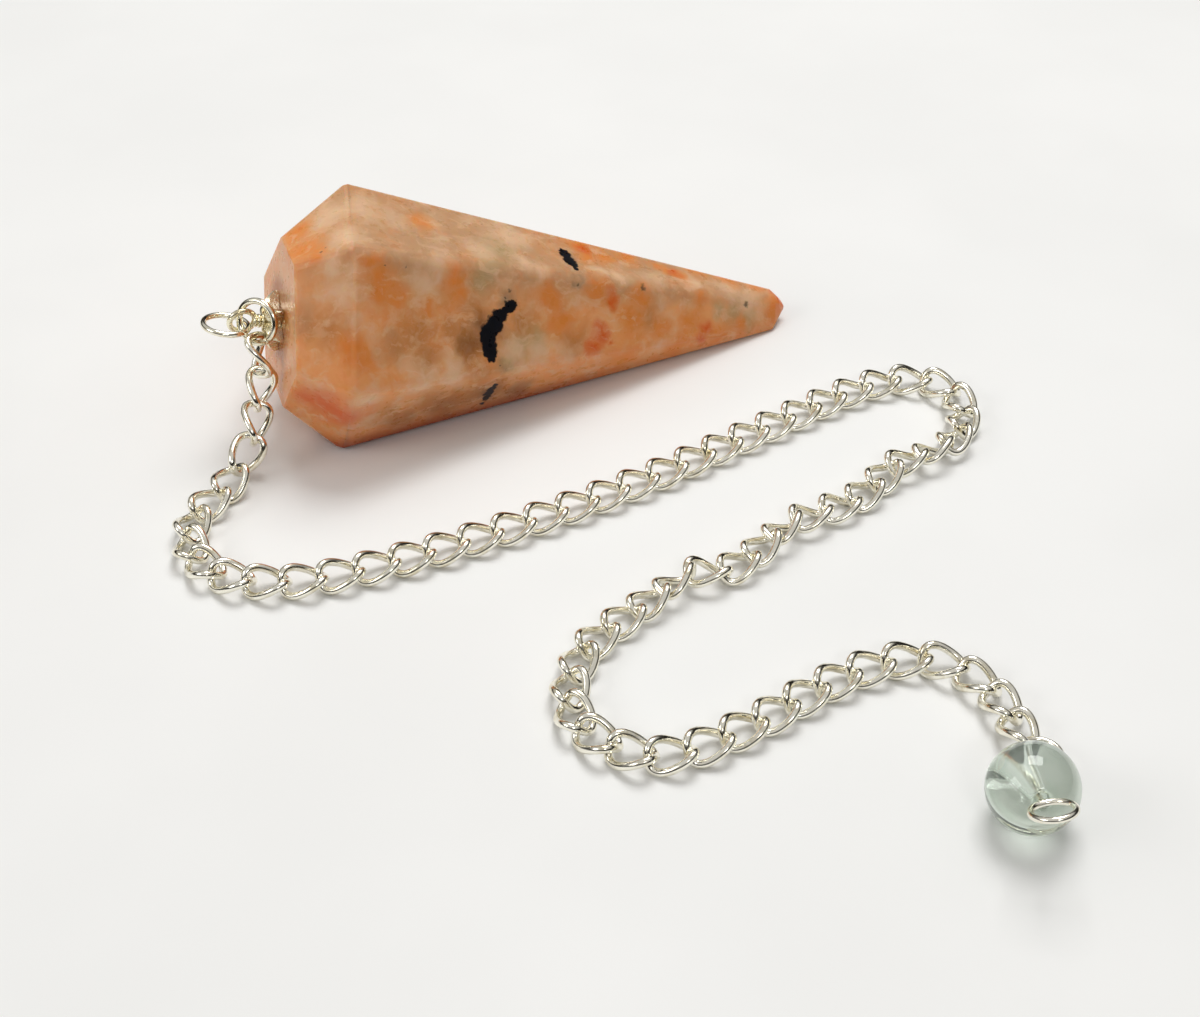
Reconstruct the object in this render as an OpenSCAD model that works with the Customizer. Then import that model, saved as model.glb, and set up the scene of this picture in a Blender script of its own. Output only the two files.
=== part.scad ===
// Pendulum pendant: a faceted pointed stone with a star cap, two rings, a curb chain and a drilled bead.
// Millimetres. +X to the right, +Y away from the viewer, +Z up. The pieces lie on the plane z = 0.
// The origin is on the stone's resting facet.

/* [Stone] */
// length from the widest line to the tip
stone_l = 42; // [36:0.5:48]
// width across the lower facets at the widest line
stone_w = 18.8; // [17:0.2:21]
// width across the lower facets at the tip
tip_w = 2.5; // [2:0.1:3.5]
// length of the blunt end
tip_l = 1.7; // [1:0.1:2.5]
// height of the upper facets
crown_h = 4.9; // [4:0.1:6]
// width across the flat top face
table_w = 12.2; // [10:0.1:13]
// turn of the stone in plan, degrees
stone_yaw = 19.45; // [10:0.5:30]
// distance from the widest line's foot to the origin
rest_reach = 14; // [8:0.5:20]

/* [Cap] */
// reach of the star's points
star_r = 2.65; // [2.2:0.05:3]
// radius of the notches between the points
notch_r = 1.4; // [1.1:0.05:1.7]
// height of the domed star
dome_h = 1.3; // [1:0.05:1.6]
// widest diameter of the ribbed neck
neck_d = 1.3; // [1:0.05:1.6]
// radius of the eye, to the middle of its wire
eye_r = 1.04; // [0.95:0.01:1.15]
// wire of the eye
eye_wire = 0.36; // [0.3:0.02:0.38]
// diameter of the hidden peg
peg_d = 1.2; // [0.8:0.1:2]
// depth of the hidden peg
peg_l = 5; // [3:0.5:8]

/* [Rings] */
// jump ring radius, to the middle of its wire
jump_r = 1.72; // [1.66:0.02:1.8]
// wire of the jump ring
jump_wire = 0.39; // [0.3:0.01:0.41]
// hang ring radius, to the middle of its wire
hang_r = 1.8; // [1.7:0.02:1.95]
// wire of the hang ring
hang_wire = 0.37; // [0.3:0.01:0.42]

/* [Chain] */
// advance of one link along the chain
link_pitch = 2.8; // [2.7:0.01:2.9]
// outer width of a link
link_w = 3; // [2.8:0.02:3.1]
// wire of a link
link_wire = 0.4; // [0.3:0.01:0.42]
// clear gap where two links cross
link_gap = 0.18; // [0.16:0.01:0.24]
// twist of a link from its middle to its end, degrees
link_twist = 41; // [34:1:46]

/* [Bead] */
// diameter of the glass bead
bead_d = 6.2; // [5:0.1:7]
// diameter of the bead's hole
hole_d = 1; // [0.7:0.1:1.4]
// wire through the bead
bead_wire_d = 0.4; // [0.3:0.01:0.42]
// radius of the bead's two rings, to the middle of the wire
bead_ring_r = 1.42; // [1.3:0.02:1.6]

/* [Hidden] */
eps = 0.01;
fit_gap = 0.05;
AZ = 0;
WIDE = 1;
END = 2;
// lower facets: azimuth, share of half the width, share of half the tip width
lower_facets = [
  [30.3, 1.03, 1.6],
  [93.9, 1.02, 0.94],
  [150.8, 0.93, 0.41],
  [205.6, 1.02, 1.29],
  [268.8, 0.995, 0.74],
  [330, 1, 1]
];
// upper facets: azimuth, share of half the width, share of half the top face's width
upper_facets = [
  [34.6, 0.985, 0.88],
  [84.9, 1.027, 1.09],
  [149.4, 1.04, 1],
  [210.5, 1.067, 1.12],
  [270, 1, 0.99],
  [331.6, 0.99, 0.925]
];
rest_facet = lower_facets[4];
rest_wide = rest_facet[WIDE] * stone_w / 2;
rest_end = rest_facet[END] * tip_w / 2;
stone_pitch = atan((rest_wide - rest_end) / stone_l);
stone_roll = 270 - rest_facet[AZ];
stone_lift = rest_wide * cos(stone_pitch);
big = 2 * (stone_l + stone_w);

// the stone's axes in the row frame, and a point given along them
axis_x = [cos(stone_pitch) * cos(stone_yaw), cos(stone_pitch) * sin(stone_yaw), -sin(stone_pitch)];
axis_y = [-sin(stone_yaw), cos(stone_yaw), 0];
axis_z = [sin(stone_pitch) * cos(stone_yaw), sin(stone_pitch) * sin(stone_yaw), cos(stone_pitch)];
wide_at = [-rest_reach * cos(stone_yaw), -rest_reach * sin(stone_yaw), stone_lift];
function on_stone(x, y, z) = wide_at + x * axis_x + y * axis_y + z * axis_z;

// the cap stands off the flat top face: out, back and up from the cap's centre
cap_back = 0;
cap_down = 0.24;
cap_at = on_stone(-crown_h, cap_back, -cap_down);
function dir_cap(v) = -v[0] * axis_x + v[1] * axis_y + v[2] * axis_z;
function on_cap(v) = cap_at + dir_cap(v);
neck_top = dome_h + 0.9;
eye_h = neck_top - 0.26 + eye_r;

jump_c = on_cap([eye_h - 0.566 * jump_r, -0.568 * jump_r, 0.308 * jump_r]);
jump_n = dir_cap([0.733, -0.645, 0.215]);
hang_c = on_cap([eye_h + hang_r - 0.41, -0.31, -0.165]);
hang_n = dir_cap([-0.035, 0.09, 1]);
eye_n = [0.11, 0.97, 0.18];

// lowest point of the jump ring's wire, where the chain hangs
jump_u = jump_n / norm(jump_n);
jump_down = [jump_u[0] * jump_u[2], jump_u[1] * jump_u[2], jump_u[2] * jump_u[2] - 1];
jump_low = jump_c + jump_r * jump_down / norm(jump_down);
hook = (link_wire + link_gap) / 2;
drop_from = jump_low + [0, 0, hook];

// the bead rests on the surface; its hole points back and down
bead_c = [36.6, -51, bead_d / 2 + 0.02];
hole_dir = [0.05, 0.845, -0.532];
back_out = bead_c + (bead_d / 2) * hole_dir;
back_c = back_out + bead_ring_r * [1.056, 1.507, -0.07];
front_out = bead_c - (bead_d / 2) * hole_dir;
front_v = [0.16, -0.86, 0.48];
front_c = front_out + (bead_ring_r + 0.32) * front_v;
front_n = [-0.177, 0.44, 0.887];
back_n = [0.05, 0.13, 1];
link_end = back_c + bead_ring_r * [-0.58, 0.8, -0.07] + (hook + 0.07) * [0.4, -0.91, 0];

// the chain's drop: plan offset from its start, share of its start's height, roll
drop = [
  [0, 0, 1, -89],
  [0.53, -1.09, 0.733, -82],
  [0.11, -2.79, 0.502, -74],
  [-0.06, -4.99, 0.32, -64],
  [-1.39, -6.94, 0.157, -35],
  [-2.17, -9.62, 0.115, -10],
  [-3.77, -12, 0.093, 0]
];
// the chain's route on the surface: x, y, height over the lowest rest, roll
route = [
  [-23.5, -23.2, 0, 5],
  [-21.8, -26.8, 0, 5],
  [-17.9, -28.5, 0, 5],
  [-12.1, -28, 0, 5],
  [-1.8, -23.8, 0, 5],
  [10.7, -17, 0, 5],
  [22.3, -9.1, 0, 5],
  [30.4, -3.6, 0, 5],
  [35.6, -1.9, 0, 5],
  [38.8, -3.9, 0, 5],
  [39.2, -7.8, 0.06, 5],
  [36.7, -12.3, 0.52, 5],
  [32.8, -13.9, 0.43, 5],
  [29, -18.4, 0, 5],
  [23.1, -22, 0.54, 5],
  [18.8, -27, 0.17, 5],
  [15.4, -27.6, 0.53, 5],
  [10.6, -32.2, 0.05, 5],
  [7.1, -36.3, 0, 5],
  [6.6, -42.8, 0, 5],
  [12, -46.4, 0, 5],
  [18.1, -43.9, 0, 5],
  [25.9, -38.5, 0, 5],
  [32.1, -36.7, 0.03, 5],
  [35.9, -39.7, 0.26, -5]
];
// links that stand on edge: place as a share of the chain, extra roll
turned = [[0.5443, 34], [0.6346, 34], [0.6945, 38]];

link_b = (link_w - link_wire) / 2;
link_rest = link_b * sin(0.62 * link_twist) * 0.94 + link_b * sin(5) * 0.9 + link_wire / 2 - 0.01;
way = concat(
  [for (d = drop) [drop_from[0] + d[0], drop_from[1] + d[1], drop_from[2] * d[2], d[3]]],
  [for (r = route) [r[0], r[1], link_rest + r[2], r[3]]],
  [[link_end[0], link_end[1], link_end[2], -20]]
);

// a smooth line through the route, and places along it by length
parts_n = 6;
way_n = len(way);
function way_at(i) = i < 0 ? 2 * way[0] - way[1] : i >= way_n ? 2 * way[way_n - 1] - way[way_n - 2] : way[i];
function bend(p, q, r, s, t) =
  0.5 * (2 * q + (r - p) * t + (2 * p - 5 * q + 4 * r - s) * t * t + (3 * q - p - 3 * r + s) * t * t * t);
line = concat(
  [for (i = [0 : way_n - 2]) for (k = [0 : parts_n - 1])
    bend(way_at(i - 1), way_at(i), way_at(i + 1), way_at(i + 2), k / parts_n)],
  [way[way_n - 1]]
);
function xyz(p) = [p[0], p[1], p[2]];
run = [for (i = 0, s = 0; i < len(line);
  s = i + 1 < len(line) ? s + norm(xyz(line[i + 1]) - xyz(line[i])) : s, i = i + 1) s];
chain_l = run[len(run) - 1];
link_n = round(chain_l / link_pitch);
link_step = chain_l / link_n;
tables = [for (c = [0 : 3]) [for (i = [0 : len(line) - 1]) [run[i], line[i][c]]]];
function along(s) = [for (c = [0 : 3]) lookup(s, tables[c])];
joints = [for (i = [0 : link_n]) along(i * link_step)];

// one link: a rounded oval, twisted about its length
link_a = link_step / 2 + hook;
link_sections = 12;
link_sides = 6;
function soft(v) = sign(v) * pow(abs(v), 2 / 3.4);
function unit(v) = v / norm(v);
function oval(u) =
  let (x = link_a * soft(cos(u)), y = link_b * soft(sin(u)), t = -link_twist * x / link_a)
  [x, y * cos(t), y * sin(t)];
function tube_ring(u) =
  let (
    p = oval(u),
    ahead = unit(oval(u + 4) - oval(u - 4)),
    t = -link_twist * p[0] / link_a,
    up = [0, -sin(t), cos(t)],
    side = unit(cross(ahead, up)),
    rise = cross(side, ahead)
  )
  [for (k = [0 : link_sides - 1])
    let (w = 360 * (k + 0.5) / link_sides)
    p + (link_wire / 2) * (cos(w) * side + sin(w) * rise)];
link_points = [for (j = [0 : link_sections - 1]) each tube_ring(360 * j / link_sections)];
function spot(j, k) = (j % link_sections) * link_sides + (k % link_sides);
link_faces = [for (j = [0 : link_sections - 1]) for (k = [0 : link_sides - 1])
  each [[spot(j, k), spot(j + 1, k), spot(j + 1, k + 1)], [spot(j, k), spot(j + 1, k + 1), spot(j, k + 1)]]];

// a link's axes from its two joints and its roll
function edge_roll(i) = [for (t = turned) t[1] * max(0, 1 - 0.65 * abs(t[0] * link_n - 0.5 - i))] * [for (t = turned) 1];
function link_axes(i) =
  let (
    a = joints[i],
    b = joints[i + 1],
    t = unit(xyz(b) - xyz(a)),
    v = unit(cross([0, 0, 1], t)),
    n = cross(t, v),
    r = (a[3] + b[3]) / 2 + edge_roll(i)
  )
  [(xyz(a) + xyz(b)) / 2, t, cos(r) * v + sin(r) * n, cos(r) * n - sin(r) * v];
function placed(q, f) = f[0] + q[0] * f[1] + q[1] * f[2] + q[2] * f[3];
link_size = len(link_points);

module at_stone() {
  translate(wide_at)
    rotate([0, 0, stone_yaw])
      rotate([0, stone_pitch, 0])
        children();
}

module at_cap() {
  at_stone()
    translate([-crown_h, cap_back, -cap_down])
      rotate([0, -90, 0])
        children();
}

// turns the Z axis to a direction
module facing(v) {
  rotate([0, acos(v[2] / norm(v)), atan2(v[1], v[0])])
    children();
}

// takes away all that lies outside the plane through two points of the stone's side
module facet_cut(az, x0, r0, x1, r1) {
  rotate([az, 0, 0])
    translate([x0, r0, 0])
      rotate([0, 0, atan2(r1 - r0, x1 - x0)])
        translate([-big / 2, 0, -big / 2])
          cube([big, big / 2, big]);
}

module ring(r, wire) {
  rotate_extrude($fn = 48)
    translate([r, 0])
      circle(d = wire, $fn = 16);
}

function side_at(f, x) = f[WIDE] * stone_w / 2 + (f[END] * tip_w / 2 - f[WIDE] * stone_w / 2) * x / stone_l;

// six long and six short facets, a flat top face and a blunt end
module stone_blank() {
  difference() {
    translate([-crown_h, -stone_w, -stone_w])
      cube([crown_h + stone_l, 2 * stone_w, 2 * stone_w]);
    for (f = lower_facets)
      facet_cut(f[AZ], 0, side_at(f, 0), stone_l, side_at(f, stone_l));
    for (f = upper_facets)
      facet_cut(f[AZ], -crown_h, f[END] * table_w / 2, 0, f[WIDE] * stone_w / 2);
    for (f = lower_facets)
      facet_cut(f[AZ], stone_l - tip_l, side_at(f, stone_l - tip_l), stone_l, side_at(f, stone_l) - 0.5 * tip_l);
  }
}

module stone() {
  color([0.8, 0.55, 0.4])
    at_stone()
      difference() {
        rotate([stone_roll, 0, 0])
          stone_blank();
        translate([-crown_h - eps, cap_back, -cap_down])
          rotate([0, 90, 0])
            cylinder(d = peg_d + 2 * fit_gap, h = peg_l + 0.2 + eps, $fn = 32);
      }
}

// domed star with six points
module star() {
  intersection() {
    rotate_extrude($fn = 48)
      polygon([
        [0, fit_gap],
        [star_r, fit_gap],
        [star_r, 0.1 * dome_h],
        [0.87 * star_r, 0.4 * dome_h],
        [0.72 * star_r, 0.68 * dome_h],
        [0.56 * star_r, 0.88 * dome_h],
        [0.35 * star_r, dome_h],
        [0, dome_h]
      ]);
    linear_extrude(height = dome_h)
      polygon([for (k = [0 : 5]) each [
        star_r * [cos(20 + 60 * k), sin(20 + 60 * k)],
        0.77 * star_r * [cos(33 + 60 * k), sin(33 + 60 * k)],
        notch_r * [cos(50 + 60 * k), sin(50 + 60 * k)],
        0.77 * star_r * [cos(67 + 60 * k), sin(67 + 60 * k)]
      ]]);
  }
}

module neck() {
  rib = (neck_top - dome_h) / 3;
  translate([0, 0, dome_h - 0.1])
    cylinder(d = 0.72 * neck_d, h = neck_top - dome_h + 0.1, $fn = 32);
  for (k = [0 : 2])
    translate([0, 0, dome_h + (k + 0.12) * rib])
      cylinder(d = neck_d * (1 - 0.07 * k), h = 0.66 * rib, $fn = 32);
}

module cap() {
  color([0.85, 0.84, 0.82])
    at_cap() {
      star();
      neck();
      translate([0, 0, eye_h])
        facing([eye_n[2], eye_n[1], eye_n[0]])
          ring(eye_r, eye_wire);
      translate([0, 0, -peg_l])
        cylinder(d = peg_d, h = peg_l + 0.4, $fn = 32);
    }
}

module jump_ring() {
  color([0.82, 0.81, 0.79])
    translate(jump_c)
      facing(jump_n)
        ring(jump_r, jump_wire);
}

module hang_ring() {
  color([0.82, 0.81, 0.79])
    translate(hang_c)
      facing(hang_n)
        ring(hang_r, hang_wire);
}

// all links as one set of loose closed solids
module chain() {
  color([0.84, 0.83, 0.8])
    polyhedron(
      points = [for (i = [0 : link_n - 1]) let (f = link_axes(i)) each [for (q = link_points) placed(q, f)]],
      faces = [for (i = [0 : link_n - 1]) each [for (t = link_faces) [for (c = t) c + i * link_size]]],
      convexity = 10
    );
}

module along_hole(h) {
  translate(bead_c)
    facing(hole_dir)
      translate([0, 0, -h / 2])
        children();
}

module bead() {
  color([0.75, 0.82, 0.78, 0.5])
    difference() {
      translate(bead_c)
        facing(hole_dir)
          sphere(d = bead_d, $fn = 64);
      along_hole(bead_d + 2)
        cylinder(d = hole_d, h = bead_d + 2, $fn = 32);
    }
}

// a straight piece of round wire between two points
module rod(a, b, d) {
  translate(a)
    facing(b - a)
      cylinder(d = d, h = norm(b - a), $fn = 16);
}

module bead_wire() {
  back_in = back_c + bead_ring_r * unit(back_out - back_c - ((back_out - back_c) * unit(back_n)) * unit(back_n));
  front_in = front_c - bead_ring_r * unit(front_v - (front_v * unit(front_n)) * unit(front_n));
  back_end = bead_c + (bead_d / 2 + 0.34) * hole_dir;
  front_end = bead_c - (bead_d / 2 + 0.3) * hole_dir;
  color([0.84, 0.83, 0.8]) {
    rod(front_end, back_end, bead_wire_d);
    rod(back_end, back_in, bead_wire_d);
    rod(front_end, front_in, bead_wire_d);
    translate(back_end)
      sphere(d = bead_wire_d, $fn = 16);
    translate(front_end)
      sphere(d = bead_wire_d, $fn = 16);
    translate(back_c)
      facing(back_n)
        ring(bead_ring_r, bead_wire_d);
    translate(front_c)
      facing(front_n)
        ring(bead_ring_r, bead_wire_d);
  }
}

stone();
cap();
jump_ring();
hang_ring();
chain();
bead();
bead_wire();
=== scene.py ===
"""Looks of the pendulum pendant on a pale floor.

The pieces are a polished stone, a silver cap, two silver rings, a silver chain, and a glass bead on a wire.
Lengths are in millimetres unless a name says otherwise, and MM turns them into Blender's metres.
"""

import math

import bmesh
import bpy
import numpy as np
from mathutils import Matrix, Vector


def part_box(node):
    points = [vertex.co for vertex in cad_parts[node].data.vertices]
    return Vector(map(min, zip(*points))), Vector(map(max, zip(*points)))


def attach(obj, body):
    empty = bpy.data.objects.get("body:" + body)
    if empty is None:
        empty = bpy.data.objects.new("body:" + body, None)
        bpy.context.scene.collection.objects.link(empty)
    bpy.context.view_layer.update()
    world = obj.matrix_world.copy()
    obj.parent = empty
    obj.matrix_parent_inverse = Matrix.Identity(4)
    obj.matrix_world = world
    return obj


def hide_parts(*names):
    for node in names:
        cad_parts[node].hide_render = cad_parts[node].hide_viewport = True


MM = 0.001

# The star of the cap: its petals, in degrees and millimetres, and how its outline falls in between them
STAR_R = 2.7
STAR_POINTS = 6
STAR_TURN = 12
STAR_FALL = 0.6
STAR_FALL_POWER = 0.6
STAR_VALLEY = 0.1
STAR_VALLEY_POWER = 4
STAR_RINGS = 26
STAR_SIDES = 144

# Its height: a dome that sinks between the petals, a ridge along each petal, and a flat underside
DOME_H = 1.3
DOME_POWER = 2.3
VALLEY_DROP = 0.6
RIDGE_H = 0.55
RIDGE_SHARPNESS = 1.3
RIDGE_END_POWER = 5
STAR_EDGE_H = 0.08
STAR_BASE_H = 0.03
STAR_BASE_SHARE = 0.985

# The cap's neck of rounded ribs, each a little narrower than the last, and the eye on it
NECK_D = 1.25
NECK_H = 0.9
NECK_RIBS = 3
NECK_NARROWING = 0.07
NECK_GROOVE = 0.2
NECK_STRETCH = 1.02
NECK_SINK = 0.12
EYE_R = 1.04
EYE_WIRE = 0.48
EYE_SINK = 0.26
EYE_NORMAL = (0.11, 0.97, 0.18)
CAP_SHARP_ANGLE = 38

# The lower rim of the CAD cap: its height over the stone's face, the least distance from its middle,
# and the share of the greatest distance from which a place belongs to a petal's tip
CAP_RIM_H = (0.02, 0.09)
CAP_RIM_FROM = 1.0
CAP_TIPS_FROM = 0.9

# How far from each kind of edge the stone is worn round, and in how many steps
EDGE_REACH = {"girdle": 1.0, "long": 0.95, "crown": 0.75, "top": 0.25, "tip": 0.75}
EDGE_STEPS = 7

# Facets of the CAD stone that differ by less than this angle in degrees are one
FACET_ANGLE = 0.6

# Kinds of edges, by depth under the top face and length, and the angle in radians under which none is worn
TOP_TO = 0.6
TIP_FROM = 45
LONG_EDGE = 8
FLAT_EDGE = 0.05

# How deep corners are cut: share of the reach there, the most reach, and planes leant towards the facets
CORNER_CUT = 0.55
CORNER_MOST = 0.6
CORNER_LEAST = 0.15
CORNER_LEAN = 0.4

# Rings of bent wire. A closed seam, at a turn in degrees, thins the wire by a share over a width in radians
JUMP_WIRE = 0.54
JUMP_SEAM = 140
HANG_WIRE = 0.5
HANG_SEAM = 60
SEAM_DEPTH = 0.16
SEAM_WIDTH = 0.03

# Links: ovals of wire, squarer than an ellipse, with a twist and a roll in degrees
LINK_WIRE = 0.62
LINK_LENGTH = 3.9
LINK_WIDTH = 2.98
LINK_TWIST = 48
LINK_SQUARENESS = 3.1
LINK_ROLL = -7
LINK_OFF_FLOOR = 0.01

# The bead, and the direction of its hole from front to back
BEAD_D = 6.2
HOLE_D = 1.0
HOLE_DIR = (0.05, 0.845, -0.532)
HOLE_RIM = 0.22
HOLE_RIM_DEPTH = 0.35
HOLE_STRAIGHT = 0.85

# The bead's wire and its two rings, placed from the ends of the hole; its line leads a little past them,
# and has two knots inside at a share of the bead's radius
BEAD_WIRE = 0.46
BEAD_RING_R = 1.42
BACK_RING_AT = (1.5, 2.14, -0.1)
BACK_RING_NORMAL = (0.05, 0.13, 1)
FRONT_RING_DIR = (0.16, -0.86, 0.48)
FRONT_RING_GAP = 0.32
FRONT_RING_NORMAL = (-0.177, 0.44, 0.887)
FRONT_LEAD = 0.1
BACK_LEAD = 0.2
HOLE_KNOTS = 0.6

# A direction that no ring's axis lies along
ASKEW = (0.3, 0.5, 0.8)

# Steps along each wire, and sides round it
EYE_STEPS, EYE_SIDES = 72, 16
RING_STEPS, RING_SIDES = 120, 18
LINK_STEPS, LINK_SIDES = 44, 12
BEAD_RING_STEPS, BEAD_WIRE_SIDES = 80, 14

# Steps along a link's line before it is divided evenly, and steps and sides of the bead and of the neck
LINK_FINE_STEPS = 720
BEAD_STEPS, BEAD_RIM_STEPS, HOLE_STEPS, BEAD_SIDES = 60, 6, 12, 96
NECK_STEPS, NECK_SIDES = 8, 40

# Silver: colour, tarnish and roughness of the rings, the cap and the chain
RING_SILVER = ((0.94, 0.905, 0.76), (0.60, 0.51, 0.30), 0.09)
CAP_SILVER = ((0.93, 0.88, 0.68), (0.58, 0.46, 0.22), 0.2)
CHAIN_SILVER = ((0.96, 0.93, 0.82), (0.66, 0.58, 0.38), 0.12)

# Glass and floor
GLASS_PALE = (0.82, 0.90, 0.82)
GLASS_GREEN = (0.68, 0.80, 0.69)
GLASS_THROUGH = 0.85
FLOOR_GREY = (0.86, 0.86, 0.845)
FLOOR_WHITE = (0.89, 0.89, 0.875)
FLOOR_HALF = 900

# The surroundings: brightness by height, from 0 at the horizon to 1 overhead, with one tint for dim light
# and one for bright, and how much sooner they turn bright at the back and at the left
SKY_SHADES = [(0.0, 0.02), (0.36, 0.03), (0.46, 0.45), (0.6, 0.95), (1.0, 1.0)]
SKY_BRIGHT = (1, 0.985, 0.96)
SKY_DIM = (1, 0.86, 0.72)
SKY_DIM_TO = 0.3
SKY_STRENGTH = 0.56
SKY_BACK = 0.02
SKY_LEFT = 0.12

# Area lights: name, place, size, and power in watts
LIGHTS = [
    ("overhead", (60, 200, 480), (260, 260), 1.5),
    ("left_box", (-400, -180, 280), (260, 180), 0.45),
    ("front_fill", (120, -420, 360), (120, 80), 0.25),
]
LIGHTS_LOOK_AT = (8, -20, 0)

# The camera, from the photograph; what it leaves out nearer or farther is in metres
CAMERA_AT = (8.511, -130.03, 90.99)
CAMERA_LOOKS_AT = (8.511, -19.914, 1.18)
CAMERA_SENSOR = 36
CAMERA_LENS = 54
CAMERA_NEAR, CAMERA_FAR = 0.005, 10

# Colours of the stone, as shares of the light that comes back
# The high, middle and low colours are partly the stone's own, paler above, and partly painted light and
# shade: the middle and low ones brightened where less light falls, the high one darkened under the overhead
# lamp
STONE_HIGH_SHADED = (0.56, 0.32, 0.17)
STONE_MID_LIT = (0.84, 0.385, 0.155)
STONE_LOW_LIT = (0.76, 0.29, 0.09)
STONE_PALE = (0.80, 0.54, 0.34)
STONE_ORANGE = (0.75, 0.25, 0.05)
STONE_RED = (0.68, 0.10, 0.012)
STONE_BROWN = (0.50, 0.20, 0.06)
STONE_GREEN = (0.46, 0.32, 0.155)
# Painted shade on the stone's underside near the floor
STONE_UNDER_SHADE = (0.36, 0.055, 0.004)
# Round the cap: partly glue seen through the stone, partly painted light and shade from the cap
STONE_GLUE_AND_CAP_SHADE = (0.50, 0.15, 0.015)
STONE_VEIN = (0.80, 0.62, 0.46)
STONE_WISP = (0.84, 0.56, 0.35)
# Dark brown: partly a halo by a black mark, partly painted shade along the lower front edge
STONE_HALO_AND_SHADE = (0.27, 0.085, 0.02)
STONE_SMEAR = (0.20, 0.145, 0.095)
STONE_DOT = (0.10, 0.07, 0.04)
STONE_BLACK = (0.006, 0.006, 0.009)

# How far light wanders under the stone's surface, for red, green and blue
STONE_GLOW = (1.0, 0.4, 0.16)
STONE_GLOW_REACH = 1.3

# The stone's half height on its widest line, and what it loses for each millimetre towards the tip
STONE_HALF = 9.4
STONE_TAPER = 0.194

# How the stone's wisps are stretched along it
WISP_STRETCH = (0.5, 1.3, 1.3)

# The stone's own axes: along it towards the tip, across it, and up, from its widest line
STONE_TURN = (0, math.radians(11.35), math.radians(19.45))
STONE_FROM = (-13.2, -4.66, 9.17)

# Coloured zones of the stone along its own axes: place and reach, each set named for its colour, except the
# dark brown set, named for its halo and painted shade
ORANGE_ZONES = [
    ((-4.1, 1.3, 7.1), 1.3), ((-4.0, -1.9, 7.3), 1.5), ((-3.4, -3.4, 7.8), 0.9),
    ((0.6, -5.4, 8.2), 1.0), ((1.0, -5.9, 7.1), 1.5), ((1.6, -6.3, 6.1), 1.5), ((2.6, -6.5, 5.4), 0.9),
    ((5.5, -6.2, 4.6), 0.6), ((7.9, -4.8, 6.4), 1.2), ((8.3, -5.2, 5.3), 1.0), ((6.2, 0.8, 8.5), 1.4),
    ((-1.2, -8.7, 2.2), 1.6), ((-0.3, -8.6, 1.2), 1.2),
    ((21.2, 2.2, 5.6), 1.5), ((21.2, 0.6, 5.5), 1.2), ((21.2, -3.0, 4.1), 1.3), ((22.7, -3.1, 3.2), 0.8),
    ((16.7, -4.1, 3.9), 1.4), ((17.7, -4.8, 2.3), 1.5), ((25.7, -2.5, 3.3), 1.0), ((24.7, -3.6, 1.5), 1.4),
    ((28.3, 1.3, 4.0), 0.9), ((29.2, 0.8, 3.8), 1.0), ((30.4, 0.4, 3.5), 0.9), ((32.0, -1.6, 2.2), 0.9),
    ((27.8, -3.5, 0.4), 1.1), ((30.9, -2.6, 0.8), 1.0), ((36.4, -1.9, -0.2), 1.0), ((40.4, -0.8, 0.6), 1.5),
    ((41.6, 0.2, 0.3), 1.6), ((23.2, 1.0, 5.2), 1.4), ((25.6, 1.6, 4.7), 1.3), ((32.8, 1.9, 3.4), 1.5),
    ((36.0, 1.8, 2.8), 1.5), ((38.8, 1.2, 2.0), 1.2), ((24.5, -4.6, -2.4), 2.2), ((29.5, -3.7, -2.0), 2.0),
    ((34.5, -2.8, -1.4), 1.8),
]
RED_ZONES = [
    ((16.2, 6.1, -1.6), 1.3), ((0.6, 8.8, -1.6), 1.6), ((22.6, 4.6, 1.8), 0.8), ((35.0, 2.0, -0.4), 0.9),
    ((-2.5, -7.8, -3.4), 2.3), ((-1.2, -8.3, -4.0), 2.0),
    ((-3.6, -7.0, -3.2), 1.6), ((-2.0, -8.0, -2.6), 1.5),
    ((22.7, -3.0, 3.3), 0.7), ((21.6, -4.7, 0.7), 0.9), ((21.1, -5.3, -0.2), 1.0), ((22.9, -4.8, 0.1), 0.35),
    ((32.6, -2.7, 0.0), 0.7), ((32.3, -3.1, -0.8), 0.6), ((30.0, 0.6, 3.6), 0.6), ((41.2, 0.9, 0.9), 1.3),
    ((40.2, 1.6, 1.5), 0.9), ((21.4, 1.6, 5.5), 0.7),
]
BROWN_ZONES = [
    ((5.4, 8.2, -0.4), 2.2), ((11.2, 6.8, 2.6), 1.8), ((28.0, 3.6, -1.0), 1.5), ((-3.2, 6.2, 1.8), 1.6),
    ((-4.9, -2.4, 3.1), 1.3), ((-4.9, -2.2, 0.7), 1.7), ((-4.9, -2.7, -1.4), 1.3), ((-4.2, -5.8, 3.3), 1.9),
    ((-2.6, -7.2, 3.2), 2.0), ((2.5, -8.1, 2.3), 1.7), ((4.3, -7.5, 2.8), 2.2), ((5.2, -8.1, 1.3), 1.5),
    ((7.4, -6.8, 2.8), 1.3), ((19.0, -5.3, 0.6), 1.6), ((14.2, -5.5, 2.6), 1.2), ((26.5, -3.2, 1.6), 1.6),
    ((9.6, -6.4, 2.6), 1.6), ((9.4, -7.2, 0.9), 1.9), ((10.2, -7.3, -0.9), 1.6), ((9.5, -5.6, 3.9), 1.3),
    ((6.2, -7.6, -3.4), 2.2), ((9.8, -7.0, -3.6), 2.6), ((12.5, -6.2, -3.9), 2.3), ((2.6, -8.2, -4.2), 1.8),
]
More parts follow.
